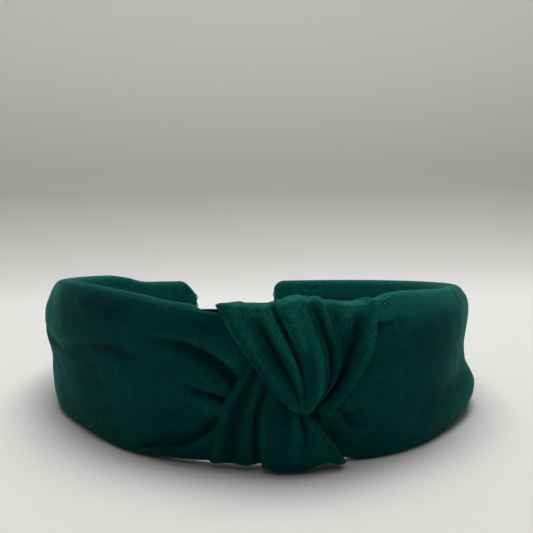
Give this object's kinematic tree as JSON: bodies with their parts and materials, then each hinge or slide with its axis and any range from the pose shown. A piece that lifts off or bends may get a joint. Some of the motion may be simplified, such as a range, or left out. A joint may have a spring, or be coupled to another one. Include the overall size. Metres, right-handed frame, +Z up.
{
  "type": "knotted headband",
  "caption": "Wide cloth-covered headband with a pleated knot at the crown, padded sleeves on a springy open hoop, a ribbon lining and squared tips.",
  "frame": {"origin": "centre of the footprint on the surface that the band lies on", "axes": "+X to the wearer's left of the knot as seen from the front, that is the viewer's right; -Y towards the knot, +Y towards the tips; +Z up from the lower edge to the upper edge"},
  "size_m": [0.1376, 0.1586, 0.0479],
  "materials": {
    "hoop_plastic": "moulded, satin black",
    "foam": "thin open-cell foam pad, hidden under the cloth",
    "green_crepe": "brushed crepe, matt with a fine nap",
    "lining_ribbon": "fine ribbed ribbon, matt",
    "thread": "spun sewing thread"
  },
  "bodies": {
    "crown": {"crown_core": "hoop_plastic", "left_gather": "green_crepe", "right_gather": "green_crepe", "knot_upper_loop": "green_crepe", "knot_lower_loop": "green_crepe", "crown_lining": "lining_ribbon", "crown_tacks": "thread"},
    "left_arm": {"left_core": "hoop_plastic", "left_foam": "foam", "left_sleeve": "green_crepe", "left_lining": "lining_ribbon", "left_tip_stitches": "thread"},
    "right_arm": {"right_core": "hoop_plastic", "right_foam": "foam", "right_sleeve": "green_crepe", "right_lining": "lining_ribbon", "right_tip_stitches": "thread"}
  },
  "joints": [
    {"name": "left_flex", "type": "hinge", "parent": "crown", "child": "left_arm", "pos_m": [-0.0342, -0.05889, 0.02], "axis": [0, 0, 1], "range_deg": [-5, 18], "stiffness_Nm_per_rad": 0.6},
    {"name": "right_flex", "type": "hinge", "parent": "crown", "child": "right_arm", "pos_m": [0.0342, -0.05889, 0.02], "axis": [0, 0, -1], "range_deg": [-5, 18], "stiffness_Nm_per_rad": 0.6}
  ]
}
